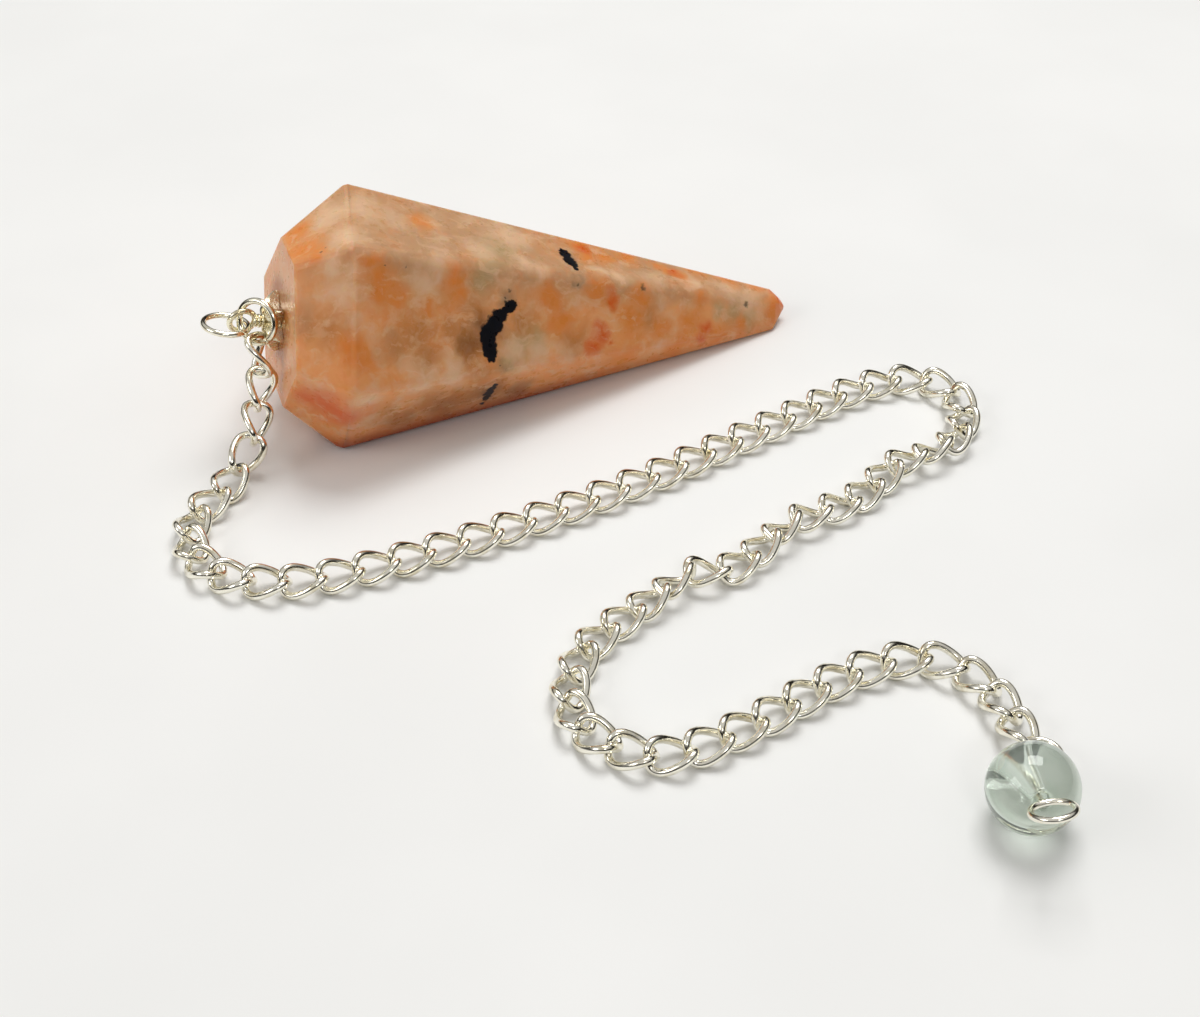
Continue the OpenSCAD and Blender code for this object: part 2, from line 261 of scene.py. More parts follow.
PALE_ZONES = [
    ((-0.5, -5.9, 7.8), 1.3), ((-1.8, -6.4, 5.9), 1.7), ((-2.5, -4.8, 7.6), 1.0), ((-1.1, -8.0, 4.1), 1.0),
    ((-1.3, 1.2, 8.8), 2.0), ((1.2, 1.2, 9.5), 2.0), ((-1.0, -2.9, 9.2), 1.8), ((6.5, -4.5, 7.4), 1.5),
    ((4.8, -5.5, 6.2), 1.2), ((10.7, -1.8, 7.3), 1.6), ((14.0, 1.4, 6.9), 1.8), ((14.6, -2.4, 6.5), 1.0),
    ((16.2, -3.1, 5.8), 0.9), ((13.4, -6.6, 0.6), 1.3), ((15.8, -6.2, 0.3), 1.3), ((14.3, -7.2, -0.8), 1.1),
    ((7.8, -8.4, -0.5), 1.6), ((5.0, -9.0, -0.7), 1.6), ((23.9, -1.5, 4.7), 1.0), ((21.9, -1.6, 5.1), 0.8),
    ((31.4, 0.0, 3.3), 1.2), ((35.5, 0.0, 2.5), 1.6), ((37.4, -0.6, 1.6), 1.4), ((38.9, -1.0, 0.4), 1.1),
    ((0.4, -9.6, -1.6), 1.4), ((-0.6, -8.6, -4.0), 1.2), ((28.0, -4.1, -0.9), 1.0), ((17.7, -5.7, 0.0), 1.0),
    ((2.0, 7.6, 2.4), 2.3), ((14.0, 5.8, 0.5), 2.1), ((8.0, 7.4, -2.5), 2.0), ((24.0, 4.0, 0.4), 1.7),
    ((-2.2, 6.6, -3.0), 1.8), ((19.5, 5.0, -2.6), 1.6), ((32.0, 2.7, 0.6), 1.4),
]
# Dark brown zones: a halo by the black mark, and painted shade along the lower front edge
HALO_AND_SHADE_ZONES = [
    ((9.2, -6.9, 1.4), 1.5), ((10.2, -6.4, 3.2), 1.0), ((11.5, -6.4, -3.6), 2.0), ((8.0, -7.0, -4.6), 2.2),
    ((4.5, -7.4, -6.0), 1.8), ((14.5, -5.6, -4.2), 1.6),
]
GREEN_ZONES = [
    ((11.3, -3.4, 7.0), 1.5), ((12.7, -1.2, 7.0), 1.8), ((10.6, -4.2, 6.3), 1.4), ((13.9, -6.3, 0.9), 1.8),
    ((12.9, -7.1, -0.2), 1.5), ((15.4, -5.8, 1.2), 1.5), ((9.2, -7.1, 1.5), 1.0), ((35.8, -1.5, 0.9), 1.4),
    ((37.3, -1.5, 0.2), 1.2), ((34.2, -1.7, 1.2), 0.9), ((17.6, 5.2, 2.0), 1.9), ((3.6, 8.2, -3.4), 1.8),
]
BLACK_MARKS = [
    ((6.6, 7.7, 1.9), 0.34), ((6.9, 7.7, 1.4), 0.44), ((7.4, 7.6, 0.9), 0.46), ((7.7, 7.6, 0.3), 0.36),
    ((21.4, 4.9, -0.9), 0.3), ((21.8, 4.8, -1.2), 0.32),
    ((11.9, -5.5, 3.2), 0.5), ((11.6, -5.9, 2.8), 0.56), ((11.1, -6.2, 2.4), 0.56), ((10.8, -6.4, 2.0), 0.56),
    ((10.9, -6.7, 1.6), 0.52), ((11.0, -6.9, 1.1), 0.46),
    ((11.1, -7.1, 0.7), 0.44), ((11.2, -7.2, 0.4), 0.36),
    ((12.5, -5.2, 3.5), 0.32), ((12.9, -5.0, 3.8), 0.38), ((13.2, -4.9, 4.0), 0.3),
    ((19.1, 0.6, 5.8), 0.32), ((19.2, 0.1, 5.8), 0.42), ((19.3, -0.7, 5.7), 0.45), ((19.4, -1.2, 5.6), 0.34),
    ((19.5, -1.8, 5.6), 0.2),
    ((12.1, -6.8, -2.7), 0.2), ((12.0, -6.6, -3.2), 0.32),
    ((11.9, -6.3, -3.8), 0.34), ((11.9, -5.9, -4.5), 0.3),
    ((11.8, -5.6, -5.3), 0.2),
]
GREY_SMEARS = [
    ((11.2, -6.3, 2.2), 2.2), ((12.7, -4.9, 4.2), 1.4), ((11.9, -6.3, -3.8), 1.5), ((19.3, -0.4, 5.7), 1.3),
    ((19.3, -2.8, 4.9), 0.8), ((12.2, -6.9, -0.8), 1.2),
]
DOTS = [
    ((26.0, -2.1, 3.8), 0.42), ((37.0, -1.0, 1.3), 0.36), ((19.4, -3.1, 4.7), 0.24),
    ((12.6, -4.7, 4.5), 0.2), ((12.5, -4.9, 4.2), 0.2), ((12.8, -4.4, 4.9), 0.2),
    ((-3.0, -3.6, 8.1), 0.2), ((-2.6, -3.3, 8.3), 0.14), ((3.6, -5.0, 7.6), 0.13), ((1.7, -5.3, 7.9), 0.11),
    ((12.0, -7.4, -0.4), 0.16), ((10.5, -8.0, -1.1), 0.13),
]

# The warm stone round the drilled hole: partly glue seen through the stone, partly painted light and shade
# from the cap
GLUE_AND_CAP_SHADE_ZONE = [((-4.9, 0, 0), 4.3)]


# Helpers for places and shapes


def unit(v):
    """The same direction with length 1."""
    v = np.asarray(v, float)
    return v / np.linalg.norm(v)


def sideways(out):
    """Two directions square to another one: a level one, and the one square to both."""
    side = unit(np.cross(out, (0, 0, 1)))
    return side, np.cross(side, out)


def place_along(centre, out, side, rise):
    """A function that gives the point at a distance along out, from two distances across it."""
    def placed(h, x, y):
        return centre + h * out + x * side + y * rise

    return placed


def turns_of(count, start=0.0):
    """Evenly spaced turns once round, in radians."""
    return 2 * math.pi * (np.arange(count) + start) / count


def circle(centre, normal, radius, turns):
    """Points of a circle at some turns in radians."""
    n = unit(normal)
    a = unit(np.cross(n, ASKEW))
    b = np.cross(n, a)
    return np.asarray(centre, float) + radius * (np.cos(turns)[:, None] * a + np.sin(turns)[:, None] * b)


def wall(rows, sides, closed=False):
    """Faces between rows of corners that each go once round; closed joins the last row to the first."""
    faces = []
    for i in range(rows if closed else rows - 1):
        a, b = i * sides, (i + 1) % rows * sides
        for k in range(sides):
            n = (k + 1) % sides
            faces.append((a + k, b + k, b + n, a + n))
    return faces


def ends(rows, sides):
    """Flat faces over the first and the last row of a wall."""
    return [tuple(range(sides)), tuple(range((rows - 1) * sides, rows * sides))[::-1]]


def lathe(profile, sides, placed):
    """Corners of a round shape from rows of height and radius."""
    corners = []
    for h, r in profile:
        corners += [placed(h, r * math.cos(w), r * math.sin(w)) for w in turns_of(sides)]
    return corners


def tube(centres, radius, sides, closed=False, up=None):
    """Corners and faces of a wire along a line of points. up fixes its cross-section's turn."""
    centres = np.asarray(centres, float)
    count = len(centres)
    radii = np.broadcast_to(np.asarray(radius, float), (count,))
    if closed:
        ahead = np.roll(centres, -1, 0) - np.roll(centres, 1, 0)
    else:
        ahead = np.gradient(centres, axis=0)
    ahead /= np.linalg.norm(ahead, axis=1)[:, None]
    corners = []
    side = None
    for i in range(count):
        if up is not None:
            side = unit(np.cross(ahead[i], up[i] if np.ndim(up) == 2 else up))
        elif side is None:
            upright = abs(ahead[i][2]) >= 0.9
            side = unit(np.cross(ahead[i], (1, 0, 0) if upright else (0, 0, 1)))
        else:
            side = unit(side - ahead[i] * (side @ ahead[i]))
        rise = np.cross(side, ahead[i])
        for w in turns_of(sides):
            corners.append(centres[i] + radii[i] * (math.cos(w) * side + math.sin(w) * rise))
    faces = wall(count, sides, closed)
    return corners, faces if closed else faces + ends(count, sides)


def join(parts):
    """One set of corners and faces from several."""
    corners, faces = [], []
    for some_corners, some_faces in parts:
        start = len(corners)
        corners += some_corners
        faces += [tuple(i + start for i in face) for face in some_faces]
    return corners, faces


def put(name, data):
    """A new object in the scene."""
    thing = bpy.data.objects.new(name, data)
    bpy.context.scene.collection.objects.link(thing)
    return thing


def smooth_mesh(name, corners, faces):
    """A smooth mesh from corners in millimetres."""
    mesh = bpy.data.meshes.new(name)
    mesh.from_pydata([[c * MM for c in p] for p in corners], [], faces)
    mesh.validate()
    mesh.shade_smooth()
    return mesh


def dress(node, mesh, material):
    """A visible piece that rides on the root body in place of a CAD node."""
    piece = put(mesh.name, mesh)
    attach(piece, "root")
    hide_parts(node)
    mesh.materials.append(material)
    return piece


# Places worked out from the frame


def node_points(node):
    """A CAD node's corners in millimetres."""
    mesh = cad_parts[node].data
    found = np.empty(3 * len(mesh.vertices))
    mesh.vertices.foreach_get("co", found)
    return found.reshape(-1, 3) / MM


def stone_top():
    """The outward direction and a point of the stone's flat top face, the largest that looks towards -X."""
    facets = {}
    looks_away = 0.8
    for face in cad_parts["stone"].data.polygons:
        key = tuple(round(c, 2) for c in face.normal)
        facet = facets.setdefault(key, [0.0, Vector(), face.center.copy()])
        facet[0] += face.area
        facet[1] += face.normal * face.area
    top = max(facets.values(), key=lambda facet: facet[0] * max(0.0, -facet[1].normalized().x - looks_away))
    return np.array(top[1].normalized()), np.array(top[2]) / MM


def cap_frame():
    """The cap's centre on the flat top face, and its axes: out from the stone, back and up."""
    out, on_face = stone_top()
    points = node_points("cap")
    height = (points - on_face) @ out
    rim = points[(height > CAP_RIM_H[0]) & (height < CAP_RIM_H[1])]
    rim = rim[np.linalg.norm(rim - rim.mean(0), axis=1) > CAP_RIM_FROM]
    centre = (rim.max(0) + rim.min(0)) / 2
    # the centre settles on the middle of the petals' tips, half the way in each round
    for _ in range(20):
        far = np.linalg.norm(rim - centre, axis=1)
        tips = rim[far > CAP_TIPS_FROM * far.max()]
        centre = centre + 0.5 * (tips.mean(0) - centre)
    centre = centre - out * ((centre - on_face) @ out)
    return centre, out, *sideways(out)


def ring_place(node):
    """Centre, axis and radius of a ring node."""
    points = node_points(node)
    centre = points.mean(0)
    _, axes = np.linalg.eigh(np.cov((points - centre).T))
    axis = axes[:, 0]
    flat = points - centre
    flat -= np.outer(flat @ axis, axis)
    far = np.linalg.norm(flat, axis=1)
    return centre, axis, (far.max() + far.min()) / 2


def link_places():
    """Centre and axes of each link, from the loose solids of the chain node."""
    work = bmesh.new()
    work.from_mesh(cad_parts["chain"].data)
    bmesh.ops.remove_doubles(work, verts=work.verts, dist=1e-7)
    work.verts.ensure_lookup_table()
    seen, places = set(), []
    for start in work.verts:
        if start.index in seen:
            continue
        seen.add(start.index)
        todo, island = [start], []
        while todo:
            corner = todo.pop()
            island.append(np.array(corner.co) / MM)
            for edge in corner.link_edges:
                other = edge.other_vert(corner)
                if other.index not in seen:
                    seen.add(other.index)
                    todo.append(other)
        points = np.array(island)
        centre = points.mean(0)
        _, axes = np.linalg.eigh(np.cov((points - centre).T))
        along, across = axes[:, 2], axes[:, 1]
        places.append((centre, along, across, np.cross(along, across)))
    work.free()
    return places


def bead_centre():
    """The bead's centre in millimetres, from its CAD box."""
    low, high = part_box("bead")
    return (np.array(low) + np.array(high)) / 2 / MM


# Materials


class Graph:
    """The nodes of a material or of the world, with a short call for each kind that is used here."""

    def __init__(self, owner):
        owner.use_nodes = True
        self.nodes, self.links = owner.node_tree.nodes, owner.node_tree.links
        self.nodes.clear()

    def add(self, kind, inputs=None, **settings):
        """A new node. Each input is a value, or the output of another node."""
        node = self.nodes.new(kind)
        for key, value in settings.items():
            setattr(node, key, value)
        for key, value in (inputs or {}).items():
            socket = node.inputs[key]
            if isinstance(value, bpy.types.NodeSocket):
                self.links.new(value, socket)
            elif socket.type == "RGBA":
                socket.default_value = (*value, 1)
            else:
                socket.default_value = value
        return node

    def place(self, turn=None, origin=(0, 0, 0)):
        """Object coordinates in millimetres, measured from origin and turned back by turn."""
        coords = self.add("ShaderNodeTexCoord").outputs["Object"]
        scaled = self.add("ShaderNodeVectorMath", {0: coords, "Scale": 1 / MM}, operation="SCALE").outputs[0]
        moved = self.add("ShaderNodeVectorMath", {0: scaled, 1: origin}, operation="SUBTRACT").outputs[0]
        if turn is None:
            return moved
        inputs = {"Vector": moved, "Rotation": turn}
        return self.add("ShaderNodeVectorRotate", inputs, rotation_type="EULER_XYZ", invert=True).outputs[0]

    def noise(self, place, scale, detail=4, roughness=0.55, distortion=0.0, output="Fac"):
        """Noise with scale in cells per millimetre."""
        look = {"Scale": scale, "Detail": detail, "Roughness": roughness, "Distortion": distortion}
        return self.add("ShaderNodeTexNoise", {"Vector": place, **look}).outputs[output]

    def pushed(self, place, scale, reach, detail):
        """Places pushed about by noise, so that what is drawn on them gets broken edges."""
        wander = self.noise(place, scale, detail, roughness=0.52, output="Color")
        inputs = {0: wander, 1: (0.5, 0.5, 0.5)}
        offset = self.add("ShaderNodeVectorMath", inputs, operation="SUBTRACT").outputs[0]
        inputs = {0: offset, 1: (reach, reach, reach), 2: place}
        return self.add("ShaderNodeVectorMath", inputs, operation="MULTIPLY_ADD").outputs[0]

    def split(self, place):
        """The X, Y and Z of a place."""
        return self.add("ShaderNodeSeparateXYZ", {0: place}).outputs

    def math(self, operation, *values):
        """Arithmetic on values or outputs."""
        return self.add("ShaderNodeMath", dict(enumerate(values)), operation=operation).outputs[0]

    def spread(self, value, low, high, to_low=0.0, to_high=1.0, soft=True):
        """Maps a value from low..high to to_low..to_high, held at the ends."""
        inputs = {"Value": value, "From Min": low, "From Max": high, "To Min": to_low, "To Max": to_high}
        kind = "SMOOTHSTEP" if soft else "LINEAR"
        return self.add("ShaderNodeMapRange", inputs, interpolation_type=kind).outputs["Result"]

    def mix(self, share, below, above):
        """One colour over another, by a share from 0 to 1."""
        inputs = {"Factor": share, 6: below, 7: above}
        return self.add("ShaderNodeMix", inputs, data_type="RGBA").outputs[2]

    def cloud(self, below, above, place, low, high, most, **look):
        """One colour over another where noise rises from low to high, with the share most at the end."""
        return self.mix(self.spread(self.noise(place, **look), low, high, 0, most), below, above)

    def zones(self, place, rows, edge=0.0, grow=1.5):
        """The strongest of several soft round zones at each place.

        A zone is 0 from grow times its reach on, and 1 inside the share edge of that.
        """
        total = None
        for centre, reach in rows:
            inputs = {0: place, 1: centre}
            away = self.add("ShaderNodeVectorMath", inputs, operation="DISTANCE").outputs["Value"]
            share = self.spread(away, grow * reach, grow * reach * edge)
            total = share if total is None else self.math("MAXIMUM", total, share)
        return total

    def stain(self, below, above, zones, most):
        """One colour over another in zones, with the share most where they are strongest."""
        return self.mix(self.math("MULTIPLY", zones, most), below, above)

    def bump(self, height, strength, depth):
        """Small unevenness, with its depth in millimetres."""
        inputs = {"Height": height, "Strength": strength, "Distance": depth * MM}
        return self.add("ShaderNodeBump", inputs).outputs[0]

    def surface(self, inputs):
        """The material's shader."""
        shader = self.add("ShaderNodeBsdfPrincipled", inputs)
        self.add("ShaderNodeOutputMaterial", {"Surface": shader.outputs[0]})


def new_material(name):
    """A material, and the graph of its nodes."""
    material = bpy.data.materials.new(name)
    return material, Graph(material)


def stone_body(g, place, broad):
    """The stone's ground colour: pale above and deeper below, brightened in the middle and below and darkened
    on top as painted light and shade, with orange clouds and pale mist.
    """
    across = g.split(broad)
    half = g.math("SUBTRACT", STONE_HALF, g.math("MULTIPLY", across["X"], STONE_TAPER))
    lift = g.math("DIVIDE", across["Z"], half)
    # painted light and shade: the middle and low bands are made brighter and the top band darker, to even out
    # the light on the facets
    colour = g.mix(g.spread(lift, low=-0.75, high=0.2, soft=False), STONE_LOW_LIT, STONE_MID_LIT)
    colour = g.mix(g.spread(lift, low=0.45, high=0.95, soft=False), colour, STONE_HIGH_SHADED)
    colour = g.cloud(colour, STONE_ORANGE, place, low=0.42, high=0.66, most=0.35,
                     scale=0.2, detail=6, roughness=0.6, distortion=0.3)
    colour = g.cloud(colour, STONE_PALE, broad, low=0.5, high=0.7, most=0.5, scale=0.3, detail=5)
    colour = g.stain(colour, STONE_GREEN, g.zones(broad, GREEN_ZONES), most=0.8)
    colour = g.stain(colour, STONE_PALE, g.zones(broad, PALE_ZONES), most=0.8)
    return g.stain(colour, STONE_BROWN, g.zones(broad, BROWN_ZONES), most=0.75)


def stone_veins(g, colour, place, broad):
    """Pale veins where noise crosses its middle value, then pale haze and orange embers."""
    vein = g.noise(broad, scale=0.42, roughness=0.5, distortion=0.5)
    off = g.math("ABSOLUTE", g.math("SUBTRACT", vein, 0.5))
    thin = g.spread(off, low=0.03, high=0.0, to_high=0.15)
    some = g.spread(g.noise(place, scale=0.2, detail=2), low=0.5, high=0.64)
    colour = g.mix(g.math("MULTIPLY", thin, some), colour, STONE_VEIN)
    colour = g.cloud(colour, STONE_PALE, broad, low=0.46, high=0.70, most=0.3,
                     scale=0.8, detail=3, roughness=0.5, distortion=0.6)
    return g.cloud(colour, STONE_ORANGE, broad, low=0.52, high=0.74, most=0.22, scale=0.9, detail=3)


def stone_flecks(g, colour, broad, fine):
    """Orange and red zones dusted with fine flecks, dark brown zones that are partly a halo by a black mark
    and partly painted shade along the lower front edge, and pale wisps that run along the stone.
    """
    fleck = g.add("ShaderNodeTexVoronoi", {"Vector": fine, "Scale": 5.5, "Randomness": 1.0})
    dust = g.spread(fleck.outputs["Distance"], low=0.55, high=0.2, to_low=0.9)
    orange = g.math("MULTIPLY", g.zones(broad, ORANGE_ZONES, grow=1.6), dust)
    colour = g.mix(orange, colour, STONE_ORANGE)
    red = g.math("MULTIPLY", g.zones(broad, RED_ZONES, grow=1.6), dust)
    colour = g.stain(colour, STONE_RED, red, most=0.9)
    # partly a dark halo by a black mark, partly painted shade along the lower front edge
    colour = g.stain(colour, STONE_HALO_AND_SHADE, g.zones(broad, HALO_AND_SHADE_ZONES), most=0.75)
    stretched = g.add("ShaderNodeVectorMath", {0: broad, 1: WISP_STRETCH}, operation="MULTIPLY").outputs[0]
    return g.cloud(colour, STONE_WISP, stretched, low=0.53, high=0.68, most=0.42,
                   scale=0.75, roughness=0.58, distortion=0.7)


def stone_shade(g, colour, place, broad):
    """Painted shade on the underside of the stone's wide end, darker towards the floor, and the warm stone
    round the cap, partly glue seen through it and partly painted light and shade from the cap.
    """
    # painted shade: darker and redder from 2.6 mm above the floor down to 0.3 mm, mostly at the wide end
    under = g.spread(g.split(g.place())["Z"], low=2.6, high=0.3, to_high=0.95)
    wide = g.spread(g.split(broad)["X"], low=30.0, high=13.0, to_low=0.2)
    colour = g.mix(g.math("MULTIPLY", under, wide), colour, STONE_UNDER_SHADE)
    # partly glue seen through the stone, partly painted light and shade from the cap
    return g.stain(colour, STONE_GLUE_AND_CAP_SHADE, g.zones(place, GLUE_AND_CAP_SHADE_ZONE, edge=0.6, grow=1.0), most=0.95)


def stone_marks(g, colour, broad, fine):
    """Grey smears, dots and black inclusions."""
    colour = g.stain(colour, STONE_SMEAR, g.zones(broad, GREY_SMEARS, edge=0.15, grow=1.0), most=0.5)
    colour = g.stain(colour, STONE_DOT, g.zones(fine, DOTS, edge=0.35, grow=1.0), most=0.8)
    return g.mix(g.zones(fine, BLACK_MARKS, edge=0.72, grow=1.62), colour, STONE_BLACK)


def stone_material():
    """Cloudy polished stone that light enters a little."""
    material, g = new_material("stone_peach")
    place = g.place(STONE_TURN, STONE_FROM)
    broad = g.pushed(place, scale=0.55, reach=2.4, detail=4)
    fine = g.pushed(place, scale=1.9, reach=0.85, detail=5)
    colour = stone_body(g, place, broad)
    colour = stone_veins(g, colour, place, broad)
    colour = stone_flecks(g, colour, broad, fine)
    colour = stone_shade(g, colour, place, broad)
    colour = stone_marks(g, colour, broad, fine)
    wear = g.noise(place, scale=1.2, detail=2)
    ripple = g.noise(place, scale=0.7, detail=2)
    g.surface({
        "Base Color": colour,
        "IOR": 1.5,
        "Specular IOR Level": 0.22,
        "Subsurface Weight": 0.75,
        "Subsurface Radius": STONE_GLOW,
        "Subsurface Scale": STONE_GLOW_REACH * MM,
        "Roughness": g.spread(wear, low=0.35, high=0.75, to_low=0.27, to_high=0.36),
        "Normal": g.bump(ripple, strength=0.12, depth=0.05),
    })
    return material


def silver_material(name, colour, tarnish, roughness):
    """Polished silver with a little warm tarnish."""
    material, g = new_material(name)
    place = g.place()
    shade = g.cloud(colour, tarnish, place, low=0.45, high=0.72, most=0.7,
                    scale=0.9, detail=5, roughness=0.6)
    smear = g.noise(place, scale=4.0)
    dent = g.noise(place, scale=2.4, detail=3)
    g.surface({
        "Base Color": shade,
        "Metallic": 1.0,
        "Roughness": g.spread(smear, low=0.3, high=0.75, to_low=roughness, to_high=roughness + 0.12),
        "Normal": g.bump(dent, strength=0.1, depth=0.02),
    })
    return material


def glass_material():
    """Clear glass with a grey-green tint that varies a little."""
    material, g = new_material("bead_glass")
    tint = g.cloud(GLASS_PALE, GLASS_GREEN, g.place(), low=0.45, high=0.7, most=1,
                   scale=0.35, detail=3, distortion=1.2)
    g.surface({
        "Base Color": tint,
        "Roughness": 0.02,
        "IOR": 1.5,
        "Transmission Weight": GLASS_THROUGH,
    })
    return material


def floor_material():
    """Pale paper with the faintest unevenness."""
    material, g = new_material("pale_floor")
    shade = g.cloud(FLOOR_GREY, FLOOR_WHITE, g.place(), low=0.3, high=0.7, most=1, scale=0.03, detail=3)
    g.surface({"Base Color": shade, "Roughness": 0.65})
    return material


# The stone


def hull_mesh(points):
    """A bmesh of the convex hull of points in millimetres, with flat facets in one piece."""
    work = bmesh.new()
    for p in points:
        work.verts.new(p)
    bmesh.ops.convex_hull(work, input=work.verts)
    bmesh.ops.delete(work, geom=[v for v in work.verts if not v.link_faces], context="VERTS")
    bmesh.ops.dissolve_limit(work, angle_limit=math.radians(FACET_ANGLE), verts=work.verts, edges=work.edges)
    bmesh.ops.recalc_face_normals(work, faces=work.faces)
    return work


def edge_kind(near, far):
    """The kind of an edge, from the depths of its ends under the top face."""
    if far < TOP_TO:
        return "top"
    if near > TIP_FROM:
        return "tip"
    if far - near > LONG_EDGE:
        return "long"
    return "crown" if near < TOP_TO else "girdle"


def edge_planes(edge, reach):
    """Planes that round an edge between two facets."""
    a, b = (np.array(f.normal) for f in edge.link_faces)
    angle = math.acos(min(1.0, a @ b))
    if angle <= FLAT_EDGE:
        return []
    radius = reach / math.tan(angle / 2)
    axis = np.array(edge.verts[0].co) - radius * (a + b) / (1 + a @ b)
    normals = [unit((EDGE_STEPS - k) * a + k * b) for k in range(1, EDGE_STEPS)]
    return [(n, n @ axis + radius) for n in normals]


def corner_planes(corner, reach):
    """Planes that cut a corner, one along its middle direction and one leant towards each facet."""
    normals = np.array([np.array(f.normal) for f in corner.link_faces])
    middle = unit(normals.sum(0))
    leant = [unit((1 - CORNER_LEAN) * middle + CORNER_LEAN * normal) for normal in normals]
    planes = []
    for n in [middle, *leant]:
        depth = CORNER_CUT * reach * max(CORNER_LEAST, 1 - (normals @ n).min())
        planes.append((n, n @ np.array(corner.co) - depth))
    return planes


def worn_planes(work):
    """Planes, each a normal and a distance, of a convex solid's facets and of its worn edges and corners."""
    out, on_face = stone_top()

    def depth(corner):
        return -(np.array(corner.co) - on_face) @ out

    planes = [(np.array(f.normal), np.array(f.normal) @ np.array(f.verts[0].co)) for f in work.faces]
    reaches = {edge: EDGE_REACH[edge_kind(*sorted(depth(v) for v in edge.verts))] for edge in work.edges}
    for edge, reach in reaches.items():
        planes += edge_planes(edge, reach)
    for corner in work.verts:
        planes += corner_planes(corner, min(CORNER_MOST, *(reaches[edge] for edge in corner.link_edges)))
    return planes


def space_inside(planes):
    """Corners of the solid that lies inside all planes, found on the dual hull, which is drawn enlarged."""
    normals = np.array([n for n, _ in planes])
    distances = np.array([d for _, d in planes])
    inside = node_points("stone").mean(0)
    enlarged = 10
    work = bmesh.new()
    for q in normals / (distances - normals @ inside)[:, None]:
        work.verts.new(q * enlarged)
    bmesh.ops.convex_hull(work, input=work.verts)
    corners = []
    for face in work.faces:
        rows = np.array([np.array(v.co) / enlarged for v in face.verts][:3])
        if abs(np.linalg.det(rows)) > 1e-12:
            corners.append(inside + np.linalg.solve(rows, np.ones(3)))
    work.free()
    return np.unique(np.array(corners).round(4), axis=0)


def make_stone():
    """The faceted stone with its edges and corners worn round."""
    sharp = hull_mesh(np.unique(node_points("stone").round(4), axis=0))
    worn = hull_mesh(space_inside(worn_planes(sharp)))
    sharp.free()
    bmesh.ops.scale(worn, vec=(MM, MM, MM), verts=worn.verts)
    mesh = bpy.data.meshes.new("stone_polished")
    worn.to_mesh(mesh)
    worn.free()
    mesh.shade_smooth()
    piece = dress("stone", mesh, stone_material())
    piece.modifiers.new("flat_facets", "WEIGHTED_NORMAL").weight = 100


# The cap and the rings


def off_petal(turn):
    """How far a turn in radians is from the nearest petal's ridge: 0 on it, 1 midway between two."""
    half = 180 / STAR_POINTS
    return abs((math.degrees(turn) - STAR_TURN + half) % (2 * half) - half) / half


def petal_reach(turn):
    """The star's radius at a turn: long pointed petals."""
    off = off_petal(turn)
    return STAR_R * (1 - STAR_FALL * off**STAR_FALL_POWER) + STAR_VALLEY * off**STAR_VALLEY_POWER


def star_height(turn, far):
    """The height of the star's top at a turn and a distance from its middle."""
    off, full = off_petal(turn), far / STAR_R
    dome = DOME_H * (1 - full**DOME_POWER) * (1 - VALLEY_DROP * off * full)
    ridge = RIDGE_H * full * (1 - off) ** RIDGE_SHARPNESS * (1 - full**RIDGE_END_POWER)
    return max(dome + ridge, STAR_EDGE_H)


def star(placed):
    """The star: its underside's outline, rings of its top from the outline inwards, and both middles."""
    turns = turns_of(STAR_SIDES)
    rows = [[(STAR_BASE_H, STAR_BASE_SHARE * petal_reach(turn)) for turn in turns]]
    for ring in range(STAR_RINGS, 0, -1):
        fars = [ring / STAR_RINGS * petal_reach(turn) for turn in turns]
        rows.append([(star_height(turn, far), far) for turn, far in zip(turns, fars)])
    corners = []
    for row in rows:
        for turn, (h, far) in zip(turns, row):
            corners.append(placed(h, far * math.cos(turn), far * math.sin(turn)))
    corners += [placed(STAR_BASE_H, 0, 0), placed(DOME_H, 0, 0)]
    foot, top = len(corners) - 2, len(corners) - 1
    faces = wall(len(rows), STAR_SIDES)
    inner = foot - STAR_SIDES
    for t in range(STAR_SIDES):
        n = (t + 1) % STAR_SIDES
        faces += [(foot, t, n), (top, inner + n, inner + t)]
    return corners, faces


def neck(placed):
    """The cap's neck of rounded ribs."""
    rib = NECK_H / NECK_RIBS * NECK_STRETCH
    profile = []
    for k in range(NECK_RIBS):
        for s in range(NECK_STEPS + 1):
            bulge = 1 - NECK_GROOVE + NECK_GROOVE * math.sin(math.pi * s / NECK_STEPS)
            height = DOME_H - NECK_SINK + (k + s / NECK_STEPS) * rib
            profile.append((height, NECK_D / 2 * (1 - NECK_NARROWING * k) * bulge))
    faces = wall(len(profile), NECK_SIDES) + ends(len(profile), NECK_SIDES)
    return lathe(profile, NECK_SIDES, placed), faces


def make_cap(material):
    """Domed star with ridged petals, a ribbed neck and an eye of wire."""
    placed = place_along(*cap_frame())
    eye_at = placed(DOME_H + NECK_H - EYE_SINK + EYE_R, 0, 0)
    eye_normal = placed(*EYE_NORMAL) - placed(0, 0, 0)
    eye_line = circle(eye_at, eye_normal, EYE_R, turns_of(EYE_STEPS))
    eye = tube(eye_line, EYE_WIRE / 2, EYE_SIDES, closed=True)
    mesh = smooth_mesh("cap_star", *join([star(placed), neck(placed), eye]))
    mesh.set_sharp_from_angle(angle=math.radians(CAP_SHARP_ANGLE))
    dress("cap", mesh, material)


